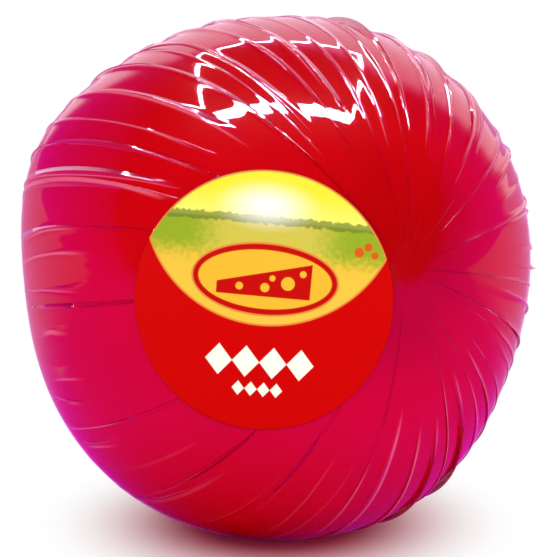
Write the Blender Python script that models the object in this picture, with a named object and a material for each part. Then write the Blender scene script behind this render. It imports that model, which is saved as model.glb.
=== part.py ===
# A ball of red-waxed cheese sealed in pleated film, with a round sticker on its front.
# Metres, +Z up, the sticker facing -Y. The origin is the middle of the flat spot that the ball rests on.
import bpy
import bmesh
import numpy as np
from mathutils import Vector

# Ball
HALF_WIDTH = 0.0711        # X, without pleats
HALF_DEPTH = 0.0718        # Y
HALF_HEIGHT = 0.0738       # Z, before the flat spot is cut
FULLNESS = 2.10            # 2 is a plain ellipsoid, more is fuller on the diagonals
SPOT_RADIUS = 0.013        # flat spot at the bottom
# Slack film stands off the ball here, or the ball is flatter: middle direction, rise, degrees of spread
SLACK_PLACES = (
    ((-0.88, 0.12, 0.45), 0.0050, 22.0),
    ((0.85, 0.14, 0.51), 0.0015, 34.0),
    ((0.91, -0.10, -0.39), -0.0020, 20.0),
)

# Pleats: they run as meridians from the point where the film is drawn tight to the point behind it
WRAP_AZIMUTH = 28.7        # degrees right of -Y
WRAP_ELEVATION = 15.5      # degrees above the horizon
PLEAT_COUNT = 56
PLEAT_DEPTH = 0.0012
PLEAT_PROFILE = ((0.0, 0.0), (0.10, 1.0), (0.36, 0.12))   # place across one pleat, share of its depth
PLEAT_JITTER = 0.28        # share of a pleat's width by which its place varies
PLEAT_FADE = (16.0, 46.0)  # degrees from either end: no pleat, full pleat
SMOOTH_AZIMUTH = 240.0     # around the wrap point, degrees anticlockwise from the right: almost no pleats
SMOOTH_REACH = (20.0, 38.0)  # degrees to either side: smooth up to here, full pleats from here
SMOOTH_LEFT = 0.18         # share of pleat depth left there
RINGS = 24
END_RING = 8.0             # degrees from the wrap point to the first ring
SEED = 12

# Sticker, in arc lengths on the ball from its middle: u to the right, v up
LABEL_AZIMUTH = -3.2
LABEL_ELEVATION = 13.5
LABEL_TURN = -4.4          # degrees anticlockwise
LABEL_TIP = (0.0325, 0.0098)
LABEL_TOP = 0.0308
LABEL_BOTTOM = -0.0410
LABEL_THICKNESS = 0.0004
LABEL_GAP = 0.0004         # sticker to film
LABEL_RINGS = 6
LABEL_LOWER_POINTS = 28
LABEL_UPPER_POINTS = 14
CLEAR_ELEVATION = 9.5      # middle of the flat film under the sticker
LABEL_CLEAR = (29.5, 34.0)  # degrees from there: film flat up to here, pleats full from here
SPOT_CLEAR = (12.0, 26.0)   # the same from the bottom

SPOT_SINK = SPOT_RADIUS ** 2 / (2 * HALF_HEIGHT)
CENTRE = np.array([0.0, 0.0, HALF_HEIGHT - SPOT_SINK])
MERGE_DISTANCE = 0.0001


def smooth_step(low, high, value):
    """0 below low, 1 above high, with no corner at either."""
    share = np.clip((value - low) / (high - low), 0.0, 1.0)
    return share * share * (3.0 - 2.0 * share)


def unit(vector):
    return np.asarray(vector, float) / np.linalg.norm(vector)


def facing(azimuth, elevation):
    """Unit vector that points azimuth degrees right of -Y and elevation degrees up."""
    a, e = np.radians((azimuth, elevation))
    return np.array([np.sin(a) * np.cos(e), -np.cos(a) * np.cos(e), np.sin(e)])


def right_and_up(pole, turn=0.0):
    """The directions to the right and up on the ball at pole, seen from outside and turned anticlockwise."""
    up = unit(np.array([0.0, 0.0, 1.0]) - pole[2] * pole)
    right = np.cross(up, pole)
    c, s = np.cos(np.radians(turn)), np.sin(np.radians(turn))
    return c * right + s * up, c * up - s * right


def degrees_from(pole, directions):
    return np.degrees(np.arccos(np.clip(directions @ pole, -1.0, 1.0)))


def ball_radius(directions):
    """Distance from the centre to the unpleated skin along each direction."""
    half = np.array([HALF_WIDTH, HALF_DEPTH, HALF_HEIGHT])
    radius = (np.abs(directions / half) ** FULLNESS).sum(axis=-1) ** (-1.0 / FULLNESS)
    for middle, rise, spread in SLACK_PLACES:
        radius = radius + rise * np.exp(-(degrees_from(unit(middle), directions) / spread) ** 2)
    return radius


def pleat_columns():
    """Azimuth and share of pleat depth of each column of vertices around the wrap axis."""
    random = np.random.default_rng(SEED)
    places = np.arange(PLEAT_COUNT) + random.uniform(-PLEAT_JITTER, PLEAT_JITTER, PLEAT_COUNT)
    depths = random.uniform(0.45, 1.0, PLEAT_COUNT)
    widths = np.diff(np.append(places, places[0] + PLEAT_COUNT))
    across, share = np.array(PLEAT_PROFILE).T
    azimuths = (places[:, None] + widths[:, None] * across) * 360.0 / PLEAT_COUNT
    from_smooth = np.abs((azimuths - SMOOTH_AZIMUTH + 180.0) % 360.0 - 180.0)
    strength = SMOOTH_LEFT + (1.0 - SMOOTH_LEFT) * smooth_step(*SMOOTH_REACH, from_smooth)
    return azimuths.ravel(), (strength * depths[:, None] * share).ravel()


def wrapped_ball():
    """Rings of vertices about the wrap axis, each column raised by its share of a pleat."""
    pole = facing(WRAP_AZIMUTH, WRAP_ELEVATION)
    right, up = right_and_up(pole)
    azimuths, shares = pleat_columns()
    polar = np.linspace(END_RING, 180.0 - END_RING, RINGS)
    t, a = np.meshgrid(np.radians(polar), np.radians(azimuths), indexing="ij")
    t, a = t[..., None], a[..., None]
    directions = np.cos(t) * pole + np.sin(t) * (np.cos(a) * right + np.sin(a) * up)
    fade = smooth_step(*PLEAT_FADE, np.minimum(polar, 180.0 - polar))[:, None]
    clear_label = smooth_step(*LABEL_CLEAR, degrees_from(facing(LABEL_AZIMUTH, CLEAR_ELEVATION), directions))
    clear_spot = smooth_step(*SPOT_CLEAR, degrees_from(np.array([0.0, 0.0, -1.0]), directions))
    radius = ball_radius(directions) + PLEAT_DEPTH * shares * fade * clear_label * clear_spot
    rings = CENTRE + radius[..., None] * directions
    ends = [CENTRE + ball_radius(d) * d for d in (pole, -pole)]

    columns = len(azimuths)
    vertices = np.vstack([rings.reshape(-1, 3), ends])
    front, back = RINGS * columns, RINGS * columns + 1
    faces = []
    for column in range(columns):
        after = (column + 1) % columns
        faces.append((front, column, after))
        for ring in range(RINGS - 1):
            near, far = ring * columns, (ring + 1) * columns
            faces.append((near + column, far + column, far + after, near + after))
        last = (RINGS - 1) * columns
        faces.append((back, last + after, last + column))
    mesh = bpy.data.meshes.new("wrapped_cheese")
    mesh.from_pydata(vertices.tolist(), [], faces)
    cut_flat_spot(mesh)
    return mesh


def cut_flat_spot(mesh):
    """Cuts the skin at z = 0 and closes it with one flat face."""
    bm = bmesh.new()
    bm.from_mesh(mesh)
    everything = bm.verts[:] + bm.edges[:] + bm.faces[:]
    up = Vector((0.0, 0.0, 1.0))
    bmesh.ops.bisect_plane(bm, geom=everything, plane_co=Vector(), plane_no=up, clear_inner=True)
    bmesh.ops.remove_doubles(bm, verts=bm.verts[:], dist=MERGE_DISTANCE)
    rim = [edge for edge in bm.edges if edge.is_boundary]
    for vertex in {vertex for edge in rim for vertex in edge.verts}:
        vertex.co.z = 0.0
    bmesh.ops.contextual_create(bm, geom=rim)
    bmesh.ops.recalc_face_normals(bm, faces=bm.faces[:])
    bm.to_mesh(mesh)
    bm.free()


def arc_through(tip, apex):
    """Centre height and radius of the arc with its middle at (0, apex) and its ends at the two tips."""
    rise = apex - tip[1]
    radius = (tip[0] ** 2 + rise ** 2) / (2.0 * abs(rise))
    return apex - np.sign(rise) * radius, radius


def label_outline():
    """Points round the sticker: one arc below its tips and a flatter one above them."""
    lower_centre, lower_radius = arc_through(LABEL_TIP, LABEL_BOTTOM)
    upper_centre, upper_radius = arc_through(LABEL_TIP, LABEL_TOP)
    lower_end = np.arctan2(LABEL_TIP[1] - lower_centre, LABEL_TIP[0])
    upper_end = np.arctan2(LABEL_TIP[1] - upper_centre, LABEL_TIP[0])
    lower = np.linspace(-np.pi - lower_end, lower_end, LABEL_LOWER_POINTS, endpoint=False)
    upper = np.linspace(upper_end, np.pi - upper_end, LABEL_UPPER_POINTS, endpoint=False)
    return np.vstack([
        np.column_stack([lower_radius * np.cos(lower), lower_centre + lower_radius * np.sin(lower)]),
        np.column_stack([upper_radius * np.cos(upper), upper_centre + upper_radius * np.sin(upper)]),
    ])


def on_ball(points, height):
    """Lays flat (u, v) points on the ball about the sticker's middle, height above the skin."""
    pole = facing(LABEL_AZIMUTH, LABEL_ELEVATION)
    right, up = right_and_up(pole, LABEL_TURN)
    arc = np.linalg.norm(points, axis=1)
    along = points / np.maximum(arc, 1e-9)[:, None]
    angle = (arc / float(ball_radius(pole)))[:, None]
    directions = np.cos(angle) * pole + np.sin(angle) * (along[:, :1] * right + along[:, 1:] * up)
    return CENTRE + (ball_radius(directions) + height)[:, None] * directions


def label():
    """The outline drawn in to the middle ring by ring and laid on the ball; Solidify thickens it."""
    outline = label_outline()
    count = len(outline)
    scales = np.linspace(1.0, 0.0, LABEL_RINGS, endpoint=False)
    flat = np.vstack([outline * scale for scale in scales] + [np.zeros((1, 2))])
    middle = LABEL_RINGS * count
    faces = []
    for point in range(count):
        after = (point + 1) % count
        for ring in range(LABEL_RINGS - 1):
            outer, inner = ring * count, (ring + 1) * count
            faces.append((outer + point, outer + after, inner + after, inner + point))
        last = (LABEL_RINGS - 1) * count
        faces.append((last + point, last + after, middle))
    mesh = bpy.data.meshes.new("label")
    mesh.from_pydata(on_ball(flat, LABEL_GAP).tolist(), [], faces)
    return mesh


def finish(name, colour, roughness):
    material = bpy.data.materials.new(name)
    material.use_nodes = True
    shader = material.node_tree.nodes["Principled BSDF"]
    shader.inputs["Base Color"].default_value = (*colour, 1.0)
    shader.inputs["Roughness"].default_value = roughness
    shader.inputs["Metallic"].default_value = 0.0
    return material


def add_part(mesh, material, sharp_angle):
    mesh.materials.append(material)
    mesh.shade_smooth()
    mesh.set_sharp_from_angle(angle=np.radians(sharp_angle))
    part = bpy.data.objects.new(mesh.name, mesh)
    bpy.context.scene.collection.objects.link(part)
    return part


def main():
    for thing in list(bpy.data.objects):
        bpy.data.objects.remove(thing, do_unlink=True)
    add_part(wrapped_ball(), finish("wrapped_cheese", (0.62, 0.003, 0.02), 0.15), 30.0)
    sticker = add_part(label(), finish("label", (0.66, 0.006, 0.003), 0.3), 40.0)
    wall = sticker.modifiers.new("thickness", "SOLIDIFY")
    wall.thickness = LABEL_THICKNESS
    wall.offset = 1.0


main()
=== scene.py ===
import bpy
import numpy as np
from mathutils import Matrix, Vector


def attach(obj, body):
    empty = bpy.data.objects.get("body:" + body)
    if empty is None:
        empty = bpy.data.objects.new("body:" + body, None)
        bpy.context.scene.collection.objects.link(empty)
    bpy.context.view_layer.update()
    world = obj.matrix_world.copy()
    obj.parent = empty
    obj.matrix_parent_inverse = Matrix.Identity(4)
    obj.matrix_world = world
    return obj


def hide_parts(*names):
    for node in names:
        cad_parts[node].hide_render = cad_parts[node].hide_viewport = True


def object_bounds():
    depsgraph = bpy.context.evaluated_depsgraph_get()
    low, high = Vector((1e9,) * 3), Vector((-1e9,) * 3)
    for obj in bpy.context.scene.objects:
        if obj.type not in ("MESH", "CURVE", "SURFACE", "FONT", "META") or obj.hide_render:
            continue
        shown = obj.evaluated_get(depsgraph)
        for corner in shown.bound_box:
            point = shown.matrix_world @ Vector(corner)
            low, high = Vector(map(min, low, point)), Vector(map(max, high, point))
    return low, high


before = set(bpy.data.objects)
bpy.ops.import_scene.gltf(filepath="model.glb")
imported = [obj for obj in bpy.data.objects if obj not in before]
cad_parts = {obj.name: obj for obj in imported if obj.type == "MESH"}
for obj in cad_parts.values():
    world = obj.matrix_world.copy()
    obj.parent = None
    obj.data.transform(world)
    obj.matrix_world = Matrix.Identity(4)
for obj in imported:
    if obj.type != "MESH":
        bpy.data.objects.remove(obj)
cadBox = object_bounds()
print("frame loaded")

imageSize = (547, 557)

# The ball's form without pleats, in metres; it is the form of the CAD solid
ballForm = {
    "halfWidth": 0.0711,
    "halfDepth": 0.0718,
    "halfHeight": 0.0738,
    "fullness": 2.10,            # 2 is a plain ellipsoid, more is fuller on the diagonals
    "spotRadius": 0.013,         # flat spot it rests on
    "slackPlaces": (             # film stands off the ball, or the ball is flatter: middle, rise, degrees
        ((-0.88, 0.12, 0.45), 0.0050, 22.0),
        ((0.85, 0.14, 0.51), 0.0015, 34.0),
        ((0.91, -0.10, -0.39), -0.0020, 20.0),
    ),
}
spotSink = ballForm["spotRadius"] ** 2 / (2 * ballForm["halfHeight"])
ballCentre = np.array([0.0, 0.0, ballForm["halfHeight"] - spotSink])


# Shape helpers, all on whole arrays

def smoothStep(low, high, value):    # 0 below low, 1 above high, 3s^2 - 2s^3 between
    share = np.clip((value - low) / (high - low), 0.0, 1.0)
    return share * share * (3.0 - 2.0 * share)


def unitVector(vector):
    return np.asarray(vector, float) / np.linalg.norm(vector)


def facing(azimuth, elevation):      # the way azimuth degrees right of -Y and elevation degrees up
    a, e = np.radians((azimuth, elevation))
    return np.array([np.sin(a) * np.cos(e), -np.cos(a) * np.cos(e), np.sin(e)])


def rightAndUp(pole, turn=0.0):      # the ways right and up on the ball at pole, turned anticlockwise
    up = unitVector(np.array([0.0, 0.0, 1.0]) - pole[2] * pole)
    right = np.cross(up, pole)
    c, s = np.cos(np.radians(turn)), np.sin(np.radians(turn))
    return c * right + s * up, c * up - s * right


def degreesFrom(pole, ways):
    return np.degrees(np.arccos(np.clip(ways @ pole, -1.0, 1.0)))


def ballRadius(ways):
    # (|x/a|^n + |y/b|^n + |z/c|^n)^(-1/n), and for each slack place a soft bell,
    # rise x exp(-(angle/width)^2)
    half = np.array([ballForm["halfWidth"], ballForm["halfDepth"], ballForm["halfHeight"]])
    radius = (np.abs(ways / half) ** ballForm["fullness"]).sum(axis=-1) ** (-1.0 / ballForm["fullness"])
    for way, rise, width in ballForm["slackPlaces"]:
        radius = radius + rise * np.exp(-(degreesFrom(unitVector(way), ways) / width) ** 2)
    return radius


def aroundPole(pole, polar, azimuth, turn=0.0):
    # cos(polar) along the pole and sin(polar) across it, the latter turned by azimuth
    right, up = rightAndUp(pole, turn)
    t, a = np.radians(polar)[..., None], np.radians(azimuth)[..., None]
    return np.cos(t) * pole + np.sin(t) * (np.cos(a) * right + np.sin(a) * up)


def closedGrid(name, rows, firstEnd, lastEnd, layers=None):
    # rows x columns x 3 points, closed around and with one point at either end;
    # u runs around, v along the rows
    count, columns = rows.shape[:2]
    points = np.vstack([rows.reshape(-1, 3), [firstEnd], [lastEnd]])
    column = np.arange(columns)
    after = (column + 1) % columns
    base = np.arange(count - 1)[:, None] * columns
    quads = np.stack([base + column, base + columns + column, base + columns + after, base + after], -1)
    first = np.stack([np.full(columns, count * columns), column, after], -1)
    last = (count - 1) * columns
    final = np.stack([np.full(columns, count * columns + 1), last + after, last + column], -1)
    mesh = bpy.data.meshes.new(name)
    mesh.from_pydata(points.tolist(), [], quads.reshape(-1, 4).tolist() + first.tolist() + final.tolist())

    u, v = column / columns, (np.arange(count) + 1.0) / (count + 1.0)
    uNow, vNow = np.broadcast_to(u, (count - 1, columns)), np.broadcast_to(v[:-1, None], (count - 1, columns))
    uNext, vNext = uNow + 1.0 / columns, np.broadcast_to(v[1:, None], (count - 1, columns))
    quadUv = np.stack([uNow, vNow, uNow, vNext, uNext, vNext, uNext, vNow], -1).reshape(-1, 2)
    half, full = u + 0.5 / columns, u + 1.0 / columns
    zero, one = np.zeros(columns), np.ones(columns)
    firstUv = np.stack([half, zero, u, zero + v[0], full, zero + v[0]], -1).reshape(-1, 2)
    lastUv = np.stack([half, one, full, zero + v[-1], u, zero + v[-1]], -1).reshape(-1, 2)
    mesh.uv_layers.new(name="plan").data.foreach_set("uv", np.vstack([quadUv, firstUv, lastUv]).ravel())
    for layer, values in (layers or {}).items():
        held = mesh.attributes.new(layer, "FLOAT", "POINT")
        held.data.foreach_set("value", np.append(values.ravel(), [0.0, 0.0]).astype(np.float32))
    mesh.shade_smooth()
    piece = bpy.data.objects.new(name, mesh)
    bpy.context.scene.collection.objects.link(piece)
    return piece


# Node helpers

def newMaterial(name):
    material = bpy.data.materials.new(name)
    material.use_nodes = True
    tree = material.node_tree
    return material, tree, tree.nodes["Principled BSDF"]


def feed(tree, socket, value):
    if isinstance(value, bpy.types.NodeSocket):
        tree.links.new(value, socket)
    else:
        socket.default_value = value


def maths(tree, operation, *values):
    node = tree.nodes.new("ShaderNodeMath")
    node.operation = operation
    for socket, value in zip(node.inputs, values):
        feed(tree, socket, value)
    return node.outputs[0]


def ramp(tree, value, low, high, toLow=0.0, toHigh=1.0):
    node = tree.nodes.new("ShaderNodeMapRange")
    node.interpolation_type = "SMOOTHSTEP"
    for socket, number in zip(node.inputs, (value, low, high, toLow, toHigh)):
        feed(tree, socket, number)
    return node.outputs[0]


def blendColour(tree, share, first, second):
    node = tree.nodes.new("ShaderNodeMix")
    node.data_type = "RGBA"
    feed(tree, node.inputs[0], share)
    for socket, colour in ((node.inputs[6], first), (node.inputs[7], second)):
        feed(tree, socket, colour if isinstance(colour, bpy.types.NodeSocket) else (*colour, 1.0))
    return node.outputs[2]


def noise(tree, vector, scale, detail=2.0, roughness=0.5):
    node = tree.nodes.new("ShaderNodeTexNoise")
    feed(tree, node.inputs["Vector"], vector)
    node.inputs["Scale"].default_value = scale
    node.inputs["Detail"].default_value = detail
    node.inputs["Roughness"].default_value = roughness
    return node.outputs["Fac"]


def stretched(tree, vector, scale):
    node = tree.nodes.new("ShaderNodeMapping")
    feed(tree, node.inputs["Vector"], vector)
    node.inputs["Scale"].default_value = scale
    return node.outputs[0]


def bump(tree, height, strength, distance):
    node = tree.nodes.new("ShaderNodeBump")
    node.inputs["Strength"].default_value = strength
    node.inputs["Distance"].default_value = distance
    feed(tree, node.inputs["Height"], height)
    return node.outputs[0]


def planUv(tree):
    node = tree.nodes.new("ShaderNodeUVMap")
    node.uv_map = "plan"
    return node.outputs[0]


def objectPlace(tree):
    return tree.nodes.new("ShaderNodeTexCoord").outputs["Object"]


# Waxed cheese: the ball inside the film

waxedBall = {
    "inset": 0.0004,             # below the film's tight places
    "rings": 120,
    "columns": 240,
    "dents": 0.00018,            # slow unevenness of the dipped wax
    "colour": (0.72, 0.0006, 0.004),
    "deepColour": (0.60, 0.0004, 0.002),
    "roughness": (0.30, 0.44),
}


def waxUnevenness(ways):             # three crossed slow waves
    x, y, z = ways[..., 0], ways[..., 1], ways[..., 2]
    waves = np.sin(5.1 * x + 3.3 * z + 0.7) * np.sin(4.3 * y - 2.9 * z + 1.9)
    return waves + 0.5 * np.sin(9.7 * x - 7.9 * y + 0.3) * np.sin(8.3 * z + 2.2)


def aboveFloor(points, clearance):   # nothing below the flat spot
    points[..., 2] = np.maximum(points[..., 2], clearance)
    return points


def makeWaxedBall():
    # radius = ball form - inset + dents x waves, over polar angle and azimuth about the vertical
    polar = np.linspace(2.0, 178.0, waxedBall["rings"])
    azimuth = np.arange(waxedBall["columns"]) * 360.0 / waxedBall["columns"]
    t, a = np.meshgrid(polar, azimuth, indexing="ij")
    top = np.array([0.0, 0.0, 1.0])
    ways = np.stack([np.sin(np.radians(t)) * np.cos(np.radians(a)),
                     np.sin(np.radians(t)) * np.sin(np.radians(a)), np.cos(np.radians(t))], -1)
    radius = ballRadius(ways) - waxedBall["inset"] + waxedBall["dents"] * waxUnevenness(ways)
    ends = [ballCentre + (ballRadius(way) - waxedBall["inset"]) * way for way in (top, -top)]
    rows = aboveFloor(ballCentre + radius[..., None] * ways, waxedBall["inset"])
    ends[1][2] = waxedBall["inset"]
    piece = closedGrid("waxed_cheese", rows, ends[0], ends[1])
    piece.data.materials.append(waxFinish())
    return piece


def waxFinish():
    material, tree, shader = newMaterial("red_cheese_wax")
    place = objectPlace(tree)
    cloud = noise(tree, place, 40.0, 3.0)
    tone = blendColour(tree, ramp(tree, cloud, 0.35, 0.7), waxedBall["deepColour"], waxedBall["colour"])
    feed(tree, shader.inputs["Base Color"], tone)
    feed(tree, shader.inputs["Roughness"], ramp(tree, cloud, 0.3, 0.7, *waxedBall["roughness"]))
    feed(tree, shader.inputs["Normal"], bump(tree, noise(tree, place, 260.0, 2.0), 0.06, 0.0004))
    shader.inputs["Subsurface Weight"].default_value = 0.08
    shader.inputs["Subsurface Scale"].default_value = 0.002
    shader.inputs["Specular IOR Level"].default_value = 0.06
    return material


# Film: clear, glossy, drawn tight at one point and pleated around it

filmWrap = {
    "wrapAzimuth": 28.7,         # where it is drawn tight: degrees right of -Y
    "wrapElevation": 15.5,
    "pleats": 56,
    "depth": 0.00095,
    "jitter": 0.36,              # share of a pleat's width by which its place varies
    "seed": 12,
    "starts": (20.0, 38.0),      # degrees from either end where pleats begin
    "growth": 22.0,              # degrees over which one reaches its full depth
    "wander": 0.14,              # share of a pleat's width by which it wanders along its length
    "smoothAzimuth": 240.0,      # almost no pleats here
    "smoothReach": (20.0, 38.0),
    "smoothLeft": 0.16,
    "lateAzimuth": 190.0,        # here they begin only near the ball's outline
    "lateWidth": 38.0,
    "lateBy": 52.0,
    "labelClear": (0.0004, 0.0050),  # metres outside the sticker: pressed flat, free
    "spotClear": (12.0, 26.0),
    "tightPlace": (-4.0, 58.0),  # shallower pleats here, on the upper front
    "tightReach": (20.0, 46.0),
    "tightLeft": 0.24,
    "rings": 108,
    "endRing": 4.0,
    "colour": (0.72, 0.0006, 0.004),
    "gatherColour": (0.52, 0.0004, 0.0006),   # many layers lie over each other at the wrap point
    "gatherReach": (0.010, 0.042),
    # painted shade under each pleat's lip, darker and bluer than the film, where the film also lies doubled
    "edgeShadeColour": (0.62, 0.0060, 0.05),
    # painted highlight: the light pink line along each pleat's rolled crest
    "crestHighlightColour": (1.0, 0.17, 0.26),
    "alpha": 0.72,
    "edgeAlpha": 0.92,
    "roughness": (0.030, 0.050),
}
# One pleat's section: place across it, share of its depth, and how much it is folded edge, with painted
# shade, and rolled crest, with a painted highlight.
# It runs from the lip's edge over the crest, down to the ball, flat along it, under the next lip and back.
pleatSection = (
    (-0.040, 0.80, 0.9, 0.0), (-0.038, 0.92, 0.2, 0.5), (-0.015, 1.00, 0.0, 1.0), (0.020, 0.97, 0.0, 0.9),
    (0.055, 0.80, 0.0, 0.3), (0.095, 0.50, 0.0, 0.0), (0.135, 0.24, 0.0, 0.0), (0.180, 0.08, 0.0, 0.0),
    (0.240, 0.01, 0.0, 0.0), (0.380, 0.00, 0.0, 0.0), (0.540, 0.00, 0.0, 0.0), (0.700, 0.00, 0.0, 0.0),
    (0.860, 0.00, 0.0, 0.0), (0.990, 0.00, 0.3, 0.0), (1.005, 0.30, 0.5, 0.0), (0.975, 0.62, 0.7, 0.0),
)


def filmPleats(polar):
    # for each polar angle and column: azimuth, height over the ball, and how much it is folded edge, with
    # painted shade, and crest, with a painted highlight
    random = np.random.default_rng(filmWrap["seed"])
    count, jitter = filmWrap["pleats"], filmWrap["jitter"]
    places = np.arange(count) + random.uniform(-jitter, jitter, count)
    depths = random.uniform(0.30, 0.80, count)
    starts = random.uniform(*filmWrap["starts"], count)
    swayRate, swayPhase = random.uniform(1.5, 3.5, count), random.uniform(0.0, 6.28, count)
    swellRate, swellPhase = random.uniform(2.0, 5.0, count), random.uniform(0.0, 6.28, count)
    flares = random.uniform(0.0, 1.5, count) ** 2
    widths = np.diff(np.append(places, places[0] + count))
    across, share, edge, crest = np.array(pleatSection).T

    t = np.radians(polar)[:, None]                                   # rows x pleats from here
    fromEnd = np.minimum(polar, 180.0 - polar)[:, None]
    middle = (places + 0.5 * widths) * 360.0 / count
    fromSmooth = np.abs((middle - filmWrap["smoothAzimuth"] + 180.0) % 360.0 - 180.0)
    fromLate = (middle - filmWrap["lateAzimuth"] + 180.0) % 360.0 - 180.0
    starts = starts + filmWrap["lateBy"] * np.exp(-(fromLate / filmWrap["lateWidth"]) ** 2)
    grown = smoothStep(starts, starts + filmWrap["growth"], fromEnd)
    left = filmWrap["smoothLeft"]
    strength = left + (1.0 - left) * smoothStep(*filmWrap["smoothReach"], fromSmooth)
    sway = filmWrap["wander"] * np.sin(swayRate * t + swayPhase)
    swell = 0.8 + 0.2 * np.sin(swellRate * t + swellPhase)
    deep = depths * strength * grown * swell

    flat = np.arange(len(across)) / len(across)
    folded = (grown * np.minimum(1.0, strength * 1.6))[..., None]    # rows x pleats x section from here
    place = (1.0 - folded) * flat + folded * across
    azimuth = (places[:, None] + sway[..., None] + widths[:, None] * place) * 360.0 / count
    nextDeep = np.roll(deep, -1, axis=1)[..., None]
    tucked = np.arange(len(across)) >= len(across) - 2
    height = np.where(tucked, nextDeep, deep[..., None]) * share
    flare = np.where(tucked, np.roll(flares, -1)[:, None], flares[:, None])
    height = height * (1.0 + flare * (edge > 0.7))
    shape = (len(polar), -1)
    crest = (crest * folded * swell[..., None]).reshape(shape)
    return azimuth.reshape(shape), height.reshape(shape), (edge * folded).reshape(shape), crest


def makeFilm():
    # radius = ball form + depth x pleat height, kept flat under the sticker and on the resting spot
    polar = np.linspace(filmWrap["endRing"], 180.0 - filmWrap["endRing"], filmWrap["rings"])
    azimuth, height, edge, crest = filmPleats(polar)
    pole = facing(filmWrap["wrapAzimuth"], filmWrap["wrapElevation"])
    ways = aroundPole(pole, np.broadcast_to(polar[:, None], azimuth.shape), azimuth)
    free = smoothStep(*filmWrap["labelClear"], outsideSticker(ways))
    free = free * smoothStep(*filmWrap["spotClear"], degreesFrom(np.array([0.0, 0.0, -1.0]), ways))
    tight = 1.0 - smoothStep(*filmWrap["tightReach"], degreesFrom(facing(*filmWrap["tightPlace"]), ways))
    tight = 1.0 - tight * (1.0 - filmWrap["tightLeft"])
    radius = ballRadius(ways) + filmWrap["depth"] * height * free * tight
    rows = aboveFloor(ballCentre + radius[..., None] * ways, 0.00005)
    ends = [ballCentre + ballRadius(way) * way for way in (pole, -pole)]
    # the layers place painted shade, with doubled film, under the lips and a painted highlight on the crests
    layers = {"foldedEdge": edge * free, "crestHighlightShare": crest * free}
    piece = closedGrid("pleated_film", rows, ends[0], ends[1], layers)
    piece.data.materials.append(filmFinish(ends))
    return piece


def layerValue(tree, name):
    node = tree.nodes.new("ShaderNodeAttribute")
    node.attribute_name = name
    return node.outputs["Fac"]


def distanceTo(tree, place, point):
    node = tree.nodes.new("ShaderNodeVectorMath")
    node.operation = "DISTANCE"
    feed(tree, node.inputs[0], place)
    node.inputs[1].default_value = tuple(point)
    return node.outputs["Value"]


def filmFinish(ends):
    material, tree, shader = newMaterial("clear_film")
    onEdge, onCrestHighlight = layerValue(tree, "foldedEdge"), layerValue(tree, "crestHighlightShare")
    place = objectPlace(tree)
    cloud = noise(tree, place, 60.0, 3.0)
    toEnd = maths(tree, "MINIMUM", distanceTo(tree, place, ends[0]), distanceTo(tree, place, ends[1]))
    toEnd = maths(tree, "MULTIPLY_ADD", maths(tree, "SUBTRACT", cloud, 0.5), 0.02, toEnd)
    away = ramp(tree, toEnd, *filmWrap["gatherReach"])
    tone = blendColour(tree, away, filmWrap["gatherColour"], filmWrap["colour"])
    # painted highlight: light pink along the rolled crests
    tone = blendColour(tree, ramp(tree, onCrestHighlight, 0.1, 0.6, 0.0, 0.85), tone, filmWrap["crestHighlightColour"])
    # painted shade under each lip, where the film also lies doubled
    tone = blendColour(tree, ramp(tree, onEdge, 0.1, 0.9), tone, filmWrap["edgeShadeColour"])
    feed(tree, shader.inputs["Base Color"], tone)
    feed(tree, shader.inputs["Alpha"], ramp(tree, onEdge, 0.1, 0.9, filmWrap["alpha"], filmWrap["edgeAlpha"]))
    feed(tree, shader.inputs["Roughness"], ramp(tree, cloud, 0.3, 0.7, *filmWrap["roughness"]))
    creases = noise(tree, stretched(tree, planUv(tree), (220.0, 7.0, 1.0)), 1.0, 3.0)
    feed(tree, shader.inputs["Normal"], bump(tree, creases, 0.015, 0.0005))
    shader.inputs["IOR"].default_value = 1.5
    shader.inputs["Specular IOR Level"].default_value = 0.8
    shader.inputs["Specular Tint"].default_value = (1.0, 0.50, 0.85, 1.0)
    return material


# Sticker: a round printed label whose upper edge is a flatter arc

stickerForm = {
    "azimuth": -3.2,
    "elevation": 13.5,
    "turn": -4.4,
    "tip": (0.0325, 0.0098),
    "top": 0.0308,
    "bottom": -0.0410,
    "gap": 0.0004,
    "thickness": 0.0003,
    "rings": 60,
    "lowerPoints": 150,
    "upperPoints": 90,
    "roughness": (0.44, 0.54),
}
# What is printed on it, in millimetres from its middle: u to the right, v up
stickerPrint = {
    "red": (0.60, 0.0004, 0.0004),
    "pictureBottom": -10.9,      # the picture is an almond between the sticker's tips
    "rim": 0.5,
    "rimColour": (0.75, 0.27, 0.05),
    "sky": (0.93, 0.78, 0.035),
    "skyPale": (0.90, 0.84, 0.15),
    "glow": (1.0, 0.97, 0.90),
    "glowPlace": (-1.0, 21.0),
    "glowSize": (8.0, 4.0),
    "treeLine": 17.2,
    "treeHeight": 1.1,
    "trees": (0.16, 0.22, 0.03),
    "meadow": (0.30, 0.40, 0.02),
    "meadowPale": (0.62, 0.52, 0.07),
    "lower": (0.88, 0.53, 0.055),
    "blossoms": (0.72, 0.10, 0.01),
    "blossomSpots": (((27.0, 12.5), 1.1), ((24.6, 10.9), 1.3), ((29.0, 10.4), 1.0)),
    "ovalPlace": (0.2, 1.5),
    "ovalSize": (19.8, 9.8),
    "ringRed": (0.54, 0.003, 0.002),
    "ovalYellow": (0.86, 0.47, 0.032),
    "holes": (                   # in the cheese wedge: place, radius
        ((6.4, 0.9), 1.8),
        ((0.4, -0.6), 1.2),
        ((-6.4, -0.7), 1.0),
        ((10.2, 3.7), 0.9),
        ((2.2, 2.0), 0.8),
    ),
    "lozengeRows": (             # middle, count, pitch, half width and half height
        ((0.5, -21.0), 4, 7.4, (3.7, 4.4)),
        ((0.4, -28.7), 4, 3.5, (1.7, 2.1)),
    ),
    "white": (0.95, 0.91, 0.78),
}


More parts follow.
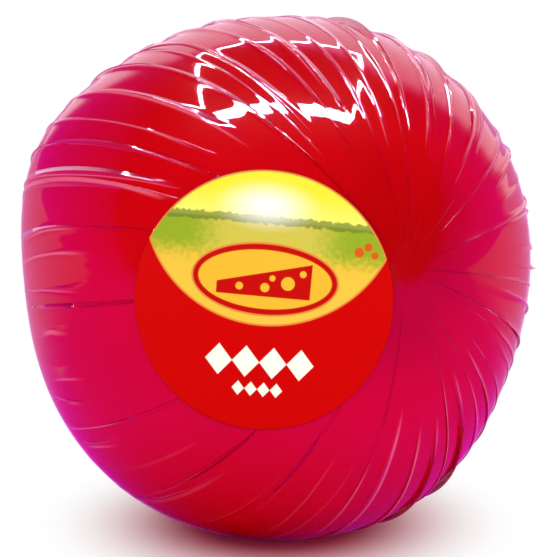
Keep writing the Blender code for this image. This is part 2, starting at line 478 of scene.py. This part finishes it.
def arcThrough(tip, apex):
    # centre height and radius of the arc with ends at +-tip and middle at apex
    rise = apex - tip[1]
    radius = (tip[0] ** 2 + rise ** 2) / (2.0 * abs(rise))
    return apex - np.sign(rise) * radius, radius


def stickerOutline():                # one arc below the tips, a flatter one above
    tip = stickerForm["tip"]
    lowCentre, lowRadius = arcThrough(tip, stickerForm["bottom"])
    topCentre, topRadius = arcThrough(tip, stickerForm["top"])
    lowEnd = np.arctan2(tip[1] - lowCentre, tip[0])
    topEnd = np.arctan2(tip[1] - topCentre, tip[0])
    low = np.linspace(-np.pi - lowEnd, lowEnd, stickerForm["lowerPoints"], endpoint=False)
    top = np.linspace(topEnd, np.pi - topEnd, stickerForm["upperPoints"], endpoint=False)
    return np.vstack([
        np.column_stack([lowRadius * np.cos(low), lowCentre + lowRadius * np.sin(low)]),
        np.column_stack([topRadius * np.cos(top), topCentre + topRadius * np.sin(top)]),
    ])


def onBall(points, height):          # arc lengths (u, v) about the sticker's middle, laid on the ball
    pole = facing(stickerForm["azimuth"], stickerForm["elevation"])
    arc = np.linalg.norm(points, axis=-1)
    angle = np.degrees(arc / float(ballRadius(pole)))
    around = np.degrees(np.arctan2(points[..., 1], points[..., 0]))
    ways = aroundPole(pole, angle, around, stickerForm["turn"])
    return ballCentre + (ballRadius(ways) + height)[..., None] * ways


def outsideSticker(ways):            # arc length beyond the outline, negative inside it
    pole = facing(stickerForm["azimuth"], stickerForm["elevation"])
    right, up = rightAndUp(pole, stickerForm["turn"])
    arc = np.radians(degreesFrom(pole, ways)) * float(ballRadius(pole))
    around = np.arctan2(ways @ up, ways @ right)
    points = np.stack([arc * np.cos(around), arc * np.sin(around)], -1)
    arcs = [arcThrough(stickerForm["tip"], stickerForm[end]) for end in ("top", "bottom")]
    beyond = [np.linalg.norm(points - [0.0, centre], axis=-1) - radius
              for centre, radius in arcs]
    return np.maximum(*beyond)


def makeSticker():
    # the outline drawn in to the middle on both faces, with the rim between them
    outline = stickerOutline()
    scales = np.linspace(1.0, 0.0, stickerForm["rings"], endpoint=False)
    shares = np.concatenate([scales[::-1], scales])
    gap, full = stickerForm["gap"], stickerForm["gap"] + stickerForm["thickness"]
    heights = np.concatenate([np.full(len(scales), full), np.full(len(scales), gap)])
    flat = outline[None] * shares[:, None, None]
    rows = onBall(flat, np.broadcast_to(heights[:, None], flat.shape[:2]))
    middle = np.zeros(2)
    piece = closedGrid("sticker", rows, onBall(middle, full), onBall(middle, gap))
    uv = np.vstack([flat.reshape(-1, 2), middle[None], middle[None]]) / 0.1 + 0.5
    index = np.empty(len(piece.data.loops), np.int32)
    piece.data.loops.foreach_get("vertex_index", index)
    piece.data.uv_layers["plan"].data.foreach_set("uv", uv[index].ravel())
    piece.data.materials.append(stickerFinish())
    return piece


def inside(tree, u, v, place, size, soft=0.12):
    # 1 inside the ellipse ((u - u0) / a)^2 + ((v - v0) / b)^2 = 1 and 0 outside, over soft millimetres
    across = maths(tree, "DIVIDE", maths(tree, "SUBTRACT", u, place[0]), size[0])
    up = maths(tree, "DIVIDE", maths(tree, "SUBTRACT", v, place[1]), size[1])
    squares = maths(tree, "ADD", maths(tree, "MULTIPLY", across, across), maths(tree, "MULTIPLY", up, up))
    share = soft / min(size)
    return ramp(tree, maths(tree, "SQRT", squares), 1.0 - share, 1.0 + share, 1.0, 0.0)


def lozenges(tree, u, v, place, count, pitch, size, soft=0.12):
    # a row of lozenges |u / a| + |v / b| = 1, count of them at the pitch about its middle
    offset = maths(tree, "ADD", maths(tree, "SUBTRACT", u, place[0]), 0.5 * count * pitch)
    within = maths(tree, "SUBTRACT", maths(tree, "WRAP", offset, pitch, 0.0), 0.5 * pitch)
    across = maths(tree, "DIVIDE", maths(tree, "ABSOLUTE", within), size[0])
    up = maths(tree, "DIVIDE", maths(tree, "ABSOLUTE", maths(tree, "SUBTRACT", v, place[1])), size[1])
    share = soft / min(size)
    shape = ramp(tree, maths(tree, "ADD", across, up), 1.0 - share, 1.0 + share, 1.0, 0.0)
    fromMiddle = maths(tree, "ABSOLUTE", maths(tree, "SUBTRACT", u, place[0]))
    return both(tree, shape, maths(tree, "LESS_THAN", fromMiddle, 0.5 * count * pitch))


def below(tree, u, v, slope, height, soft=0.12):     # 1 where v < height + slope x u
    over = maths(tree, "SUBTRACT", v, maths(tree, "MULTIPLY_ADD", u, slope, height))
    return ramp(tree, over, -soft, soft, 1.0, 0.0)


def both(tree, first, second):
    return maths(tree, "MULTIPLY", first, second)


def pictureColour(tree, u, v, grain):
    # a yellow sky with a white glow, a broken line of trees, meadow at both sides and warm ground below
    p = stickerPrint
    sky = blendColour(tree, ramp(tree, v, p["treeLine"], p["treeLine"] + 9.0), p["skyPale"], p["sky"])
    side = maths(tree, "MULTIPLY_ADD", maths(tree, "SUBTRACT", grain, 0.5), 9.0, maths(tree, "ABSOLUTE", u))
    ground = blendColour(tree, ramp(tree, side, 10.0, 22.0), p["meadowPale"], p["meadow"])
    depth = maths(tree, "MULTIPLY_ADD", maths(tree, "SUBTRACT", grain, 0.5), 6.0, v)
    ground = blendColour(tree, ramp(tree, depth, 4.0, 11.0), p["lower"], ground)
    line = p["treeLine"]
    picture = blendColour(tree, ramp(tree, v, line - 0.6, line + 0.2), ground, sky)
    fromLine = maths(tree, "ABSOLUTE", maths(tree, "SUBTRACT", v, line))
    treeTops = maths(tree, "MULTIPLY", grain, 2.0 * p["treeHeight"])
    trees = ramp(tree, maths(tree, "SUBTRACT", fromLine, treeTops), -0.25, 0.25, 0.8, 0.0)
    picture = blendColour(tree, trees, picture, p["trees"])
    glow = inside(tree, u, v, p["glowPlace"], p["glowSize"], 4.0)
    return blendColour(tree, maths(tree, "MULTIPLY", glow, 0.95), picture, p["glow"])


def stickerFinish():
    material, tree, shader = newMaterial("printed_sticker")
    p = stickerPrint
    split = tree.nodes.new("ShaderNodeSeparateXYZ")
    feed(tree, split.inputs[0], planUv(tree))
    u = maths(tree, "MULTIPLY_ADD", split.outputs[0], 100.0, -50.0)
    v = maths(tree, "MULTIPLY_ADD", split.outputs[1], 100.0, -50.0)
    grain = noise(tree, planUv(tree), 70.0, 2.0)
    tip = [1000.0 * part for part in stickerForm["tip"]]
    arcs = [arcThrough(tip, 1000.0 * stickerForm["top"]), arcThrough(tip, p["pictureBottom"])]
    almond, core = [
        both(tree, *[
            inside(tree, u, v, (0.0, centre), (radius - rim, radius - rim))
            for centre, radius in arcs
        ])
        for rim in (0.0, p["rim"])
    ]
    tone = blendColour(tree, almond, p["red"], p["rimColour"])
    tone = blendColour(tree, core, tone, pictureColour(tree, u, v, grain))
    for place, size in p["blossomSpots"]:
        tone = blendColour(tree, inside(tree, u, v, place, (size, size)), tone, p["blossoms"])
    wide, tall = p["ovalSize"]
    for inset, colour in ((0.0, "rimColour"), (0.5, "ringRed"), (2.0, "ovalYellow")):
        oval = inside(tree, u, v, p["ovalPlace"], (wide - inset, tall - inset))
        tone = blendColour(tree, oval, tone, p[colour])
    underWedge = below(tree, u, v, 0.0, -3.0)
    wedge = both(tree, below(tree, u, v, 0.25, 3.3), maths(tree, "SUBTRACT", 1.0, underWedge))
    wedge = both(tree, wedge, below(tree, v, maths(tree, "ABSOLUTE", u), 0.0, 12.5))
    tone = blendColour(tree, wedge, tone, p["ringRed"])
    for place, size in p["holes"]:
        tone = blendColour(tree, inside(tree, u, v, place, (size, size)), tone, p["ovalYellow"])
    for place, count, pitch, size in p["lozengeRows"]:
        tone = blendColour(tree, lozenges(tree, u, v, place, count, pitch, size), tone, p["white"])
    feed(tree, shader.inputs["Base Color"], tone)
    feed(tree, shader.inputs["Roughness"], ramp(tree, grain, 0.3, 0.7, *stickerForm["roughness"]))
    shader.inputs["Specular IOR Level"].default_value = 0.03
    return material


film = makeFilm()
print("film made")
waxed = makeWaxedBall()
print("waxed ball made")
sticker = makeSticker()
print("sticker made")

for piece, slotName in ((film, "film_and_wax"), (waxed, "film_and_wax"), (sticker, "label")):
    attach(piece, "root")
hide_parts("wrapped_cheese")
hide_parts("wrapped_cheese")
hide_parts("label")


# Studio: pale floor, white surroundings, a dim room in front and a frame of lamps overhead

studio = {
    "floorSize": 8.0,
    "floorColour": (0.88, 0.88, 0.88),
    "floorPaintedBounceShade": (0.72, 0.08, 0.20),     # painted shadow and painted pink light from the ball, on the floor close to it
    "floorFade": (0.021, 0.072),          # from the lit floor to plain white, metres from the ball
    "glossFloor": (1.0, 0.04, 1.02),      # what gloss sees of the floor in front
    "glossFloorFade": (0.02, 0.17),       # from there back it turns pale, along Y
    "glossFloorPale": (1.0, 0.42, 0.95),
    "glossShadowPlace": (-0.012, -0.032, 0.0),
    "glossShadow": (0.0, 0.095),          # it is dark close to the resting spot
    "ambient": 0.88,
    "roomDim": 0.03,             # how bright the room in front is to gloss
    "backBright": 1.7,           # and the white behind
    "backTint": (1.0, 0.80, 0.98),
    "sideBright": 0.9,           # and the rosy light low down
    "sideTint": (1.0, 0.02, 1.12),
}


def makeFloor():
    side = studio["floorSize"] / 2
    mesh = bpy.data.meshes.new("floor")
    corners = [(-side, -side, 0), (side, -side, 0), (side, side, 0), (-side, side, 0)]
    mesh.from_pydata(corners, [], [(0, 1, 2, 3)])
    floor = bpy.data.objects.new("floor", mesh)
    bpy.context.scene.collection.objects.link(floor)
    material = bpy.data.materials.new("studio_floor")
    material.use_nodes = True
    tree = material.node_tree
    tree.nodes.clear()
    path = tree.nodes.new("ShaderNodeLightPath")
    isGloss = path.outputs["Is Glossy Ray"]
    seen = maths(tree, "MAXIMUM", path.outputs["Is Camera Ray"], path.outputs["Is Transmission Ray"])
    distance = distanceTo(tree, objectPlace(tree), (0.0, 0.0, 0.0))
    far = ramp(tree, distance, *studio["floorFade"])
    # painted shadow and pink light from the ball near it, fading to the plain floor colour
    paintedBounceShade = blendColour(tree, far, studio["floorPaintedBounceShade"], studio["floorColour"])
    hidden = maths(tree, "MAXIMUM", maths(tree, "MULTIPLY", far, seen), isGloss)
    diffuse = tree.nodes.new("ShaderNodeBsdfDiffuse")
    feed(tree, diffuse.inputs["Color"], blendColour(tree, hidden, paintedBounceShade, (0.0, 0.0, 0.0)))
    # for glossy rays the floor glows: a painted reflection, magenta in front and paler behind, with painted
    # shadow near the resting spot
    glow = tree.nodes.new("ShaderNodeEmission")
    split = tree.nodes.new("ShaderNodeSeparateXYZ")
    feed(tree, split.inputs[0], objectPlace(tree))
    behind = ramp(tree, split.outputs[1], *studio["glossFloorFade"])
    glossTone = blendColour(tree, behind, studio["glossFloor"], studio["glossFloorPale"])
    feed(tree, glow.inputs["Color"], blendColour(tree, isGloss, (1.0, 1.0, 1.0), glossTone))
    fromShadow = distanceTo(tree, objectPlace(tree), studio["glossShadowPlace"])
    glossLevel = maths(tree, "MULTIPLY", isGloss, ramp(tree, fromShadow, *studio["glossShadow"]))
    feed(tree, glow.inputs["Strength"], maths(tree, "MULTIPLY_ADD", seen, far, glossLevel))
    added = tree.nodes.new("ShaderNodeAddShader")
    tree.links.new(diffuse.outputs[0], added.inputs[0])
    tree.links.new(glow.outputs[0], added.inputs[1])
    output = tree.nodes.new("ShaderNodeOutputMaterial")
    tree.links.new(added.outputs[0], output.inputs["Surface"])
    mesh.materials.append(material)


def makeWorld():
    # gloss sees white where y > 1.15 z - 0.5 x + 1.4 max(0, |x| - 0.65 z), rosy light 1 - z / reach low
    # down, with a reach that grows from 0.10 in front to 0.75 behind, and a dim room elsewhere
    world = bpy.data.worlds.new("studio_white")
    bpy.context.scene.world = world
    world.use_nodes = True
    tree = world.node_tree
    background = tree.nodes["Background"]
    path = tree.nodes.new("ShaderNodeLightPath")
    split = tree.nodes.new("ShaderNodeSeparateXYZ")
    tree.links.new(tree.nodes.new("ShaderNodeTexCoord").outputs["Generated"], split.inputs[0])
    x, y, z = split.outputs
    level = maths(tree, "MULTIPLY_ADD", z, -1.15, y)
    level = maths(tree, "MULTIPLY_ADD", x, 0.5, level)
    beside = maths(tree, "MULTIPLY_ADD", z, -0.65, maths(tree, "ABSOLUTE", x))
    level = maths(tree, "MULTIPLY_ADD", maths(tree, "MAXIMUM", beside, 0.0), -1.4, level)
    white = ramp(tree, level, -0.12, 0.22)
    reach = ramp(tree, y, -0.50, 0.45, 0.10, 0.75)
    low = maths(tree, "SUBTRACT", 1.0, maths(tree, "DIVIDE", z, reach))
    side = maths(tree, "MULTIPLY", studio["sideBright"], low)
    back = maths(tree, "MULTIPLY", white, studio["backBright"])
    gloss = maths(tree, "MAXIMUM", studio["roomDim"], maths(tree, "MAXIMUM", side, back))
    seen = maths(tree, "MAXIMUM", path.outputs["Is Camera Ray"], path.outputs["Is Transmission Ray"])
    isGloss = path.outputs["Is Glossy Ray"]
    other = maths(tree, "SUBTRACT", 1.0, maths(tree, "MAXIMUM", seen, isGloss))
    strength = maths(tree, "MULTIPLY_ADD", other, studio["ambient"], seen)
    strength = maths(tree, "MULTIPLY_ADD", isGloss, gloss, strength)
    tint = blendColour(tree, white, studio["sideTint"], studio["backTint"])
    feed(tree, background.inputs["Color"], blendColour(tree, isGloss, (1.0, 1.0, 1.0), tint))
    feed(tree, background.inputs["Strength"], strength)


def areaLamp(name, place, target, size, power, glossOnly=None):
    data = bpy.data.lights.new(name, "AREA")
    data.shape = "RECTANGLE"
    data.size, data.size_y = size
    data.energy = power
    lamp = bpy.data.objects.new(name, data)
    bpy.context.scene.collection.objects.link(lamp)
    lamp.location = place
    lamp.rotation_euler = (Vector(target) - Vector(place)).to_track_quat("-Z", "Y").to_euler()
    lamp.visible_camera = False
    if glossOnly is not None:
        lamp.visible_glossy = glossOnly
        lamp.visible_diffuse = not glossOnly
    return lamp


makeFloor()
makeWorld()
middle = Vector(ballCentre.tolist())
fills = {
    "front_fill": ((-0.2, -1.6, 0.6), 5.0),
    "left_fill": ((-1.3, -0.8, -0.02), 5.0),
    "right_fill": ((1.3, -0.8, -0.02), 7.4),
}
for name, (place, power) in fills.items():
    areaLamp(name, middle + Vector(place), middle, (1.0, 1.0), power, glossOnly=False)

lampFrame = {
    "height": 0.55,
    "halfWidth": 0.43,           # all in heights over the ball's middle
    "near": -0.05,
    "far": 1.14,
    "nearWidth": 0.10,
    "thinWidth": 0.022,
    "radiance": 130.0,
}


def makeLampFrame():
    h = lampFrame["height"]
    wide, near, far = lampFrame["halfWidth"], lampFrame["near"], lampFrame["far"]
    thin, thick = lampFrame["thinWidth"], lampFrame["nearWidth"]
    bars = {
        "near_bar": ((0.0, near), (2 * wide, thick)),
        "far_bar": ((0.0, far), (2 * wide, thin)),
        "left_bar": ((-wide, (near + far) / 2), (thin, far - near)),
        "right_bar": ((wide, (near + far) / 2), (thin, far - near)),
    }
    for name, ((x, y), (sizeX, sizeY)) in bars.items():
        size = (sizeX * h, sizeY * h)
        place = middle + Vector((x * h, y * h, h))
        power = lampFrame["radiance"] * np.pi * size[0] * size[1]
        lamp = areaLamp(name, place, place - Vector((0, 0, 1)), size, power, glossOnly=True)
        lamp.rotation_euler = (0.0, 0.0, 0.0)


makeLampFrame()

viewPoint = {
    "elevation": 15.0,
    "distance": 1.20,
    "ballShare": 0.9415,         # width of the ball in the picture's width
    "aside": (-0.0013, -0.0001),
}


def makeCamera():
    data = bpy.data.cameras.new("camera")
    camera = bpy.data.objects.new("camera", data)
    bpy.context.scene.collection.objects.link(camera)
    towards = Vector(facing(0.0, viewPoint["elevation"]).tolist())
    aim = middle + Vector((viewPoint["aside"][0], 0.0, viewPoint["aside"][1]))
    camera.location = aim + towards * viewPoint["distance"]
    camera.rotation_euler = (-towards).to_track_quat("-Z", "Y").to_euler()
    ballWide = cadBox[1][0] - cadBox[0][0]
    frameWide = ballWide / viewPoint["ballShare"]
    frameTall = frameWide * imageSize[1] / imageSize[0]
    data.sensor_width = 36.0
    data.lens = data.sensor_width * viewPoint["distance"] / frameTall
    data.clip_start = 0.01
    bpy.context.scene.camera = camera


makeCamera()
bpy.context.scene.view_settings.view_transform = "Standard"
print("studio made")
